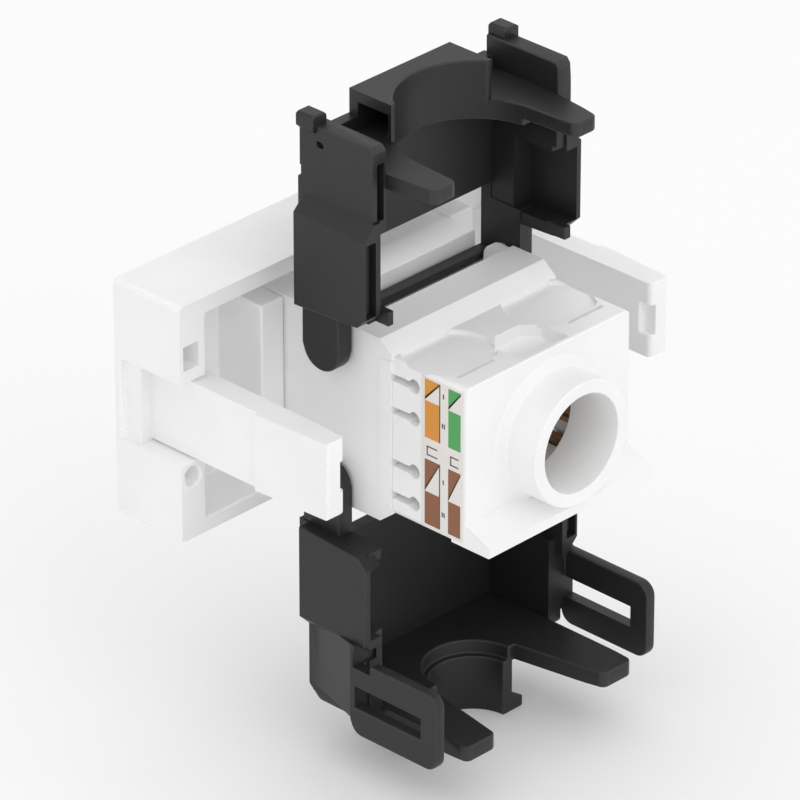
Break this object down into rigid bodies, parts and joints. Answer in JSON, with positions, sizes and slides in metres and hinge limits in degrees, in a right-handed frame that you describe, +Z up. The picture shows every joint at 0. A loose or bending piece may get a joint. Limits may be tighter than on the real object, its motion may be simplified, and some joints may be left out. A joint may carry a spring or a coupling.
{
  "type": "snap-in network socket module",
  "caption": "Snap-in network socket module: face plate with modular port and spring arms, rear wire cap with cable tube and colour labels, and hinged black covers that close over it.",
  "frame": {"origin": "centre of the face plate's front face, where the plate lies flush in its snap-in bay", "axes": "+X across the plate, +Y from the plate to the rear, where the cable leaves, +Z up with the upper cover"},
  "size_m": [0.045, 0.0329, 0.0615],
  "materials": {
    "white_plastic": "fine satin moulding",
    "black_plastic": "fine satin moulding",
    "grey_plastic": "matt moulding",
    "ivory_plastic": "matt moulding",
    "board_laminate": "solder mask",
    "label_film": "printed film",
    "gold_contact": "gold flash",
    "bronze_contact": "plain phosphor bronze"
  },
  "bodies": {
    "module": {"snap_in_frame": "white_plastic", "jack_housing": "white_plastic", "wire_cap": "white_plastic", "contact_carrier": "grey_plastic", "circuit_board": "board_laminate", "idc_block": "ivory_plastic", "wiring_label_left": "label_film", "wiring_label_right": "label_film", "contact_spring_1": "gold_contact", "contact_spring_2": "gold_contact", "contact_spring_3": "gold_contact", "contact_spring_4": "gold_contact", "contact_spring_5": "gold_contact", "contact_spring_6": "gold_contact", "contact_spring_7": "gold_contact", "contact_spring_8": "gold_contact", "idc_contact_1": "bronze_contact", "idc_contact_2": "bronze_contact", "idc_contact_3": "bronze_contact", "idc_contact_4": "bronze_contact", "idc_contact_5": "bronze_contact", "idc_contact_6": "bronze_contact", "idc_contact_7": "bronze_contact", "idc_contact_8": "bronze_contact"},
    "upper_cover": {"upper_cover": "black_plastic"},
    "lower_cover": {"lower_cover": "black_plastic"}
  },
  "joints": [
    {"name": "upper_hinge", "type": "hinge", "parent": "module", "child": "upper_cover", "pos_m": [0, 0.014, 0.00633], "axis": [-1, 0, 0], "range_deg": [0, 90]},
    {"name": "lower_hinge", "type": "hinge", "parent": "module", "child": "lower_cover", "pos_m": [0, 0.014, -0.00823], "axis": [1, 0, 0], "range_deg": [0, 90]}
  ]
}
